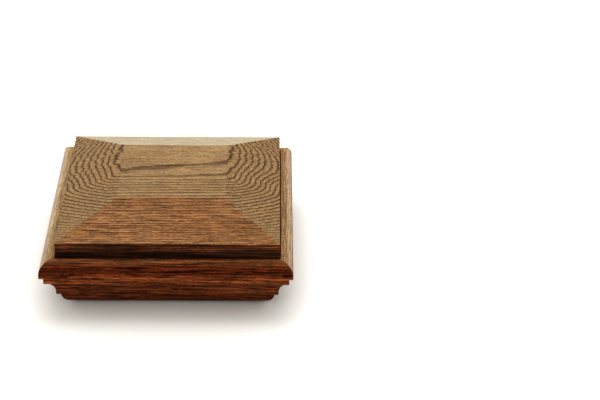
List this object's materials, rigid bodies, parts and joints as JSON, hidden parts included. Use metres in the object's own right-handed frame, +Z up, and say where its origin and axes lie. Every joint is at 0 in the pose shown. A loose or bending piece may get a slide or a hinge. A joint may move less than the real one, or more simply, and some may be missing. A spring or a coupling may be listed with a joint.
{
  "type": "newel post cap",
  "caption": "Square cap for a newel post: a hip-topped block of stained red oak glued on a frame of mitred cove-and-ovolo mouldings that slips over the post's head.",
  "frame": {"origin": "middle of the frame of mouldings, on the plane of its underside", "axes": "+Z up, along the post; +X along the grain of the block; -Y is the front"},
  "size_m": [0.1906, 0.1906, 0.0741],
  "materials": {
    "oak_block": "stained red oak, satin lacquer",
    "oak_moulding": "stained red oak, satin lacquer"
  },
  "bodies": {
    "root": {"top_block": "oak_block", "moulding_front": "oak_moulding", "moulding_right": "oak_moulding", "moulding_back": "oak_moulding", "moulding_left": "oak_moulding"}
  },
  "joints": []
}
